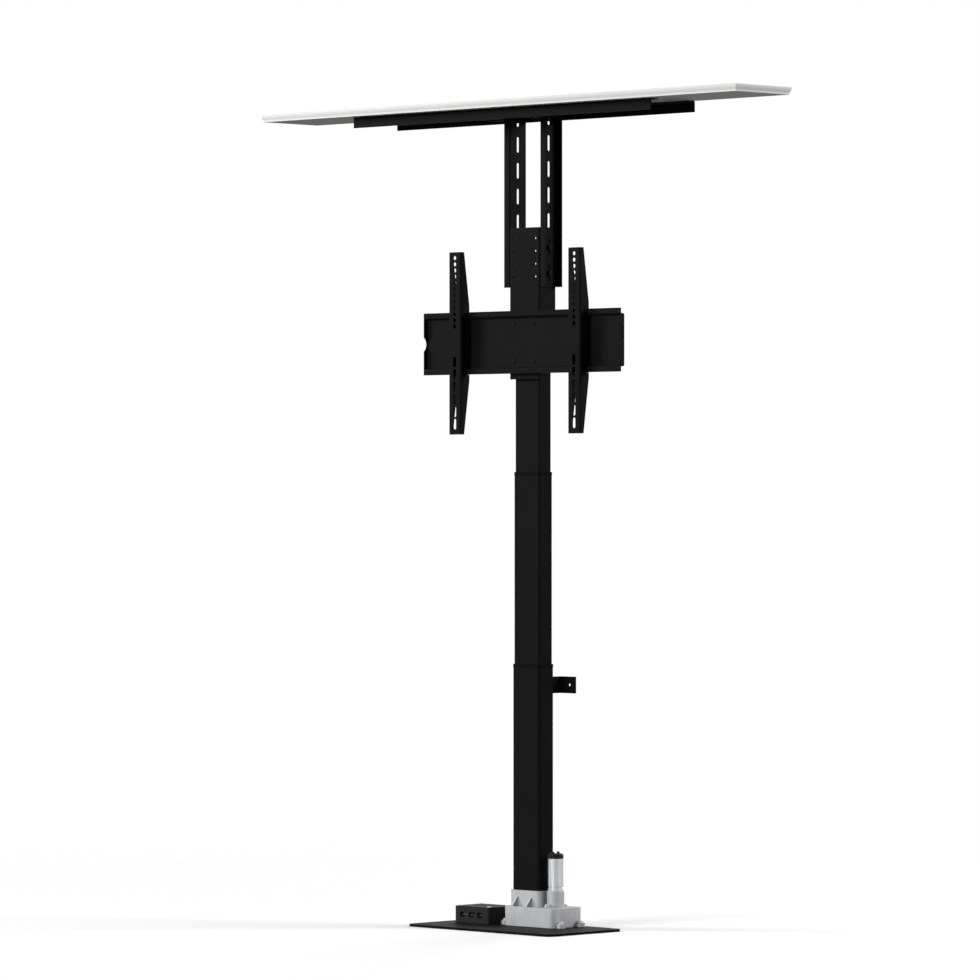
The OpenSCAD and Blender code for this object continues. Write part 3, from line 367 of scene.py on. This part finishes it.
def addDisc(bm, low, high, radius, sides, bevel=0.0):
    # a bar along local Z from low to high with a broken edge on its upper rim
    verts = bmesh.ops.create_cone(
        bm, cap_ends=True, segments=sides, radius1=radius, radius2=radius, depth=high - low)["verts"]
    bmesh.ops.translate(bm, verts=verts, vec=(0, 0, (low + high) / 2))
    if bevel:
        cut = bmesh.ops.bevel(bm, geom=list(topFace(verts).edges), offset=bevel, offset_type="OFFSET",
                              segments=2, profile=0.5, affect="EDGES", material=-1)
        verts = list({v for v in verts if v.is_valid} | set(cut["verts"]))
    return verts


def addBar(bm, place, low, high, radius, sides, bevel=0.0):
    bmesh.ops.transform(bm, matrix=place, verts=addDisc(bm, low, high, radius, sides, bevel))


def addSocketHead(bm, place, radius, height, bevel, key, depth, sides, rim):
    # round head with a hexagonal key socket
    verts = addDisc(bm, 0, height, radius, sides, bevel)
    top = topFace(verts)
    before = set(bm.verts)
    bmesh.ops.inset_individual(bm, faces=[top], thickness=radius * rim, depth=0)
    for v in top.verts:
        angle = math.atan2(v.co.y, v.co.x) % (math.pi / 3)
        v.co.xy = v.co.xy.normalized() * (key / math.cos(angle - math.pi / 6))
    sunk = bmesh.ops.extrude_discrete_faces(bm, faces=[top])["faces"][0]
    bmesh.ops.translate(bm, verts=sunk.verts, vec=(0, 0, -depth))
    verts += [v for v in bm.verts if v not in before]
    bmesh.ops.transform(bm, matrix=place, verts=verts)


def spinLine(bm, line, steps, closed=False):
    # turns a side line of (radius, height) points round the upright axis
    before = set(bm.verts)
    verts = [bm.verts.new((radius, 0, height)) for radius, height in line]
    nextVerts = verts[1:] + verts[:1] if closed else verts[1:]
    edges = [bm.edges.new(pair) for pair in zip(verts, nextVerts)]
    bmesh.ops.spin(bm, geom=verts + edges, cent=(0, 0, 0), axis=(0, 0, 1), angle=2 * math.pi,
                   steps=steps, use_merge=True)
    return [v for v in bm.verts if v not in before]


def addThread(bm, place, low, high, radius, pitch, depth, steps):
    # ridged shank: a zigzag side line turned round the axis
    root = radius - depth
    line = [(0, low), (root, low)]
    for i in range(int((high - low) / pitch)):
        line += [(radius, low + (i + 0.5) * pitch), (root, low + (i + 1) * pitch)]
    line += [(root, high), (0, high)]
    bmesh.ops.transform(bm, matrix=place, verts=spinLine(bm, line, steps))


# bolts and screws: out is the way to the head's top, and sideways means away from the column; lengths in mm
fasteners = {
    "crossbarBoltHeads": {
        "out": (0, -1, 0), "radius": 6.0, "head": 1.8, "bevel": 0.9, "key": 2.0, "sunk": 1.2, "shank": 3.0,
        "finish": "blackOxide", "body": "head", "slot": "black_bolts", "node": "crossbar_bolts"},
    "mastBoltSet": {   # the shank clears the ends of the slots
        "out": "sideways", "radius": 6.5, "head": 5.0, "bevel": 0.6, "washer": 8.0, "washerThick": 1.6,
        "shank": 3.9, "pitch": 1.25,
        "finish": "blackOxide", "body": "head", "slot": "black_bolts", "node": "mast_bolts"},
    "mastTopBoltSet": {
        "out": "sideways", "radius": 6.5, "head": 5.0, "bevel": 0.6, "shank": 3.0,
        "nut": 5.0, "nutThick": 4.0,
        "finish": "blackOxide", "body": "lid_carrier", "slot": "black_bolts", "node": "mast_top_bolts"},
    **{hand + "LockScrew": {
        "out": (0, 0, -1), "radius": 5.0, "head": 5.0, "bevel": 0.5, "shank": 3.0, "pitch": 1.0,
        "finish": "blackOxide", "body": hand + "_arm_body", "slot": "black_bolts",
        "node": hand + "_arm_lock_screw"} for hand in ("left", "right")},
    "gearboxBoltSet": {
        "out": (0, 0, 1), "radius": 6.5, "head": 3.8, "bevel": 0.6, "washer": 7.4, "washerThick": 1.2,
        "shank": 4.0, "finish": "brightZinc", "body": "base", "slot": "steel", "node": "gearbox_bolts"},
    "motorScrewSet": {
        "out": (0, 0, 1), "radius": 5.0, "head": 3.0, "bevel": 0.5, "key": 2.0, "sunk": 2.0, "shank": 2.5,
        "finish": "brightZinc", "body": "base", "slot": "steel", "node": "motor_screws"},
    "clampScrewSet": {
        "out": "sideways", "radius": 2.5, "head": 4.7, "bevel": 0.3, "key": 1.25, "sunk": 2.2,
        "finish": "brightZinc", "body": "base", "slot": "steel", "node": "tube_clamp_screws"},
    "controlScrewSet": {
        "out": (0, 0, 1), "radius": 5.0, "head": 2.0, "bevel": 0.8, "key": 1.6, "sunk": 1.2, "shank": 2.5,
        "finish": "brightZinc", "body": "base", "slot": "steel", "node": "control_box_screws"},
    "lidScrewSet": {
        "out": (0, 0, -1), "radius": 4.5, "head": 3.0, "bevel": 1.4, "key": 1.6, "sunk": 1.6, "shank": 2.0,
        "finish": "blackOxide", "body": "lid_carrier", "slot": "black_bolts", "node": "lid_screws"},
}
# the same on all of them: socketRim is a share of the head's radius, ridge a share of the pitch
fastenerForm = {"hexSides": 6, "headSides": 24, "shankSides": 24, "washerSides": 32, "threadSteps": 20,
                "washerBevel": 0.25, "nutBevel": 0.4, "socketRim": 0.18, "ridge": 0.4}


def makeFasteners(name, s, form):
    bm = bmesh.new()
    washer = s.get("washerThick", 0) * mm
    rise = washer + s["head"] * mm
    for low, high in solidBoxes(s["node"]):
        middle = (low + high) / 2
        out = Vector((math.copysign(1, middle.x), 0, 0) if s["out"] == "sideways" else s["out"])
        whole = abs(out.dot(high - low))
        foot = rise - whole
        place = turnedTo(middle + out * (whole / 2 - rise), out)   # at the face that the head lies on
        if washer:
            addBar(bm, place, 0, washer, s["washer"] * mm, form["washerSides"], form["washerBevel"] * mm)
        if "key" in s:
            sizes = [s[size] * mm for size in ("radius", "head", "bevel", "key", "sunk")]
            addSocketHead(bm, place, *sizes, form["headSides"], form["socketRim"])
        else:
            addBar(bm, place, washer, rise, s["radius"] * mm, form["hexSides"], s["bevel"] * mm)
        if "pitch" in s:
            pitch = s["pitch"] * mm
            addThread(bm, place, foot, washer, s["shank"] * mm, pitch, pitch * form["ridge"],
                      form["threadSteps"])
        elif "shank" in s:
            addBar(bm, place, foot, washer, s["shank"] * mm, form["shankSides"])
        if "nut" in s:
            nutTop = foot + s["nutThick"] * mm
            addBar(bm, place, foot, nutTop, s["nut"] * mm, form["hexSides"], form["nutBevel"] * mm)
    finishPiece(bm, name, s, s["node"])


for pieceName, settings in fasteners.items():
    makeFasteners(pieceName, settings, fastenerForm)

# contact pins on the back wall of each inlet, lengths in mm; places are shares of spread and lift
socketPins = {"wall": 2.0, "root": 0.3, "reach": 6.5, "thick": 0.9, "bevel": 0.4, "sides": 16,
              "spread": 5.5, "lift": 2.2, "places": ((-1, -0.5), (0, 1), (1, -0.5)),
              "finish": "brightZinc", "body": "base", "slot": "steel", "inlets": "control_sockets"}


def makeSocketPins(name, s):
    bm = bmesh.new()
    for low, high in solidBoxes(s["inlets"]):
        middle = (low + high) / 2
        for across, up in s["places"]:
            x = middle.x + across * s["spread"] * mm
            z = middle.z + up * s["lift"] * mm
            place = turnedTo((x, high.y - s["wall"] * mm, z), (0, -1, 0))
            addBar(bm, place, -s["root"] * mm, s["reach"] * mm, s["thick"] * mm, s["sides"],
                   s["bevel"] * mm)
    finishPiece(bm, name, s)


makeSocketPins("socketPinSet", socketPins)

# lid board: the edge goes up from a plain lip through a hollow and a belly to a rounded rim, heights in mm;
# lean is how far hollow and belly tip where they meet, sharp the least angle of a crisp edge
lidBoard = {"rim": 2.5, "belly": 8.6, "hollow": 4.4, "lean": 31, "arcSteps": 6, "sharp": 40,
            "finish": "whiteLacquer", "body": "lid_carrier", "slot": "lid_white", "node": "lid_panel"}


def lidEdge(thick, s):
    # how far in and how high each line of the edge lies, from the lip's top upwards
    rim, belly, hollow = (s[part] * mm for part in ("rim", "belly", "hollow"))
    lean = math.radians(s["lean"])
    bellyRadius = belly / math.sin(lean)
    hollowRadius = hollow / math.sin(lean)
    rimFoot = thick - rim
    lipHigh = rimFoot - belly - hollow
    lipIn = (bellyRadius + hollowRadius) * (1 - math.cos(lean))
    leans = [lean * i / s["arcSteps"] for i in range(s["arcSteps"] + 1)]
    turns = [math.pi / 2 * i / s["arcSteps"] for i in range(1, s["arcSteps"] + 1)]
    line = [(lipIn - hollowRadius * (1 - math.cos(a)), lipHigh + hollowRadius * math.sin(a)) for a in leans]
    line += [(bellyRadius * (1 - math.cos(a)), rimFoot - bellyRadius * math.sin(a)) for a in leans[-2::-1]]
    line += [(rim * (1 - math.cos(a)), rimFoot + rim * math.sin(a)) for a in turns]
    return line


def makeLidBoard(name, s):
    low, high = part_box(s["node"])
    middle, half = (low + high) / 2, (high - low) / 2

    def drawIn(verts, inset, height):
        for v in verts:
            v.co.x = middle.x + math.copysign(half.x - inset, v.co.x - middle.x)
            v.co.y = middle.y + math.copysign(half.y - inset, v.co.y - middle.y)
            v.co.z = low.z + height

    bm = bmesh.new()
    top = topFace(bmesh.ops.create_cube(bm, size=2)["verts"])
    underside = next(face for face in bm.faces if not set(face.verts) & set(top.verts))
    lip, *lines = lidEdge(high.z - low.z, s)
    drawIn(underside.verts, lip[0], 0)
    drawIn(top.verts, *lip)
    for line in lines:
        top = bmesh.ops.extrude_discrete_faces(bm, faces=[top])["faces"][0]
        drawIn(top.verts, *line)
    for face in bm.faces:
        face.smooth = face not in (top, underside)
    piece = finishPiece(bm, name, s, s["node"])
    piece.data.set_sharp_from_angle(angle=math.radians(s["sharp"]))


makeLidBoard("lidBoard", lidBoard)

# spindles: a plain journal or neck below and ridges above it, lengths in mm
driveSpindle = {
    "journal": 6.0, "journalLength": 40.0, "journalSides": 32, "pitch": 5.0, "depth": 0.9, "steps": 20,
    "finish": "drawnSteel", "body": "drive_spindle_body", "slot": "steel", "node": "drive_spindle"}
hollowSpindle = {
    "bore": 7.3, "neck": 9.5, "neckLength": 9.0, "pitch": 5.0, "depth": 1.0, "steps": 28,
    "finish": "drawnSteel", "body": "hollow_spindle_body", "slot": "steel", "node": "hollow_spindle"}


def makeDriveSpindle(name, s):
    upright = Matrix.Identity(4)
    low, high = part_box(s["node"])
    shoulder = low.z + s["journalLength"] * mm
    bm = bmesh.new()
    addBar(bm, upright, low.z, shoulder, s["journal"] * mm, s["journalSides"])
    addThread(bm, upright, shoulder, high.z, high.x, s["pitch"] * mm, s["depth"] * mm, s["steps"])
    finishPiece(bm, name, s, s["node"])


def makeHollowSpindle(name, s):
    # the bore's wall and the ridged outside are one closed line
    low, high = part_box(s["node"])
    bore, neck, pitch = s["bore"] * mm, s["neck"] * mm, s["pitch"] * mm
    root = high.x - s["depth"] * mm
    shoulder = low.z + s["neckLength"] * mm
    line = [(bore, low.z), (neck, low.z), (neck, shoulder)]
    for i in range(int((high.z - shoulder) / pitch)):
        line += [(root, shoulder + i * pitch), (high.x, shoulder + (i + 0.5) * pitch)]
    line += [(root, high.z), (bore, high.z)]
    bm = bmesh.new()
    spinLine(bm, line, s["steps"], closed=True)
    finishPiece(bm, name, s, s["node"])


makeDriveSpindle("driveSpindleThread", driveSpindle)
makeHollowSpindle("hollowSpindleThread", hollowSpindle)
print("detail pieces made")
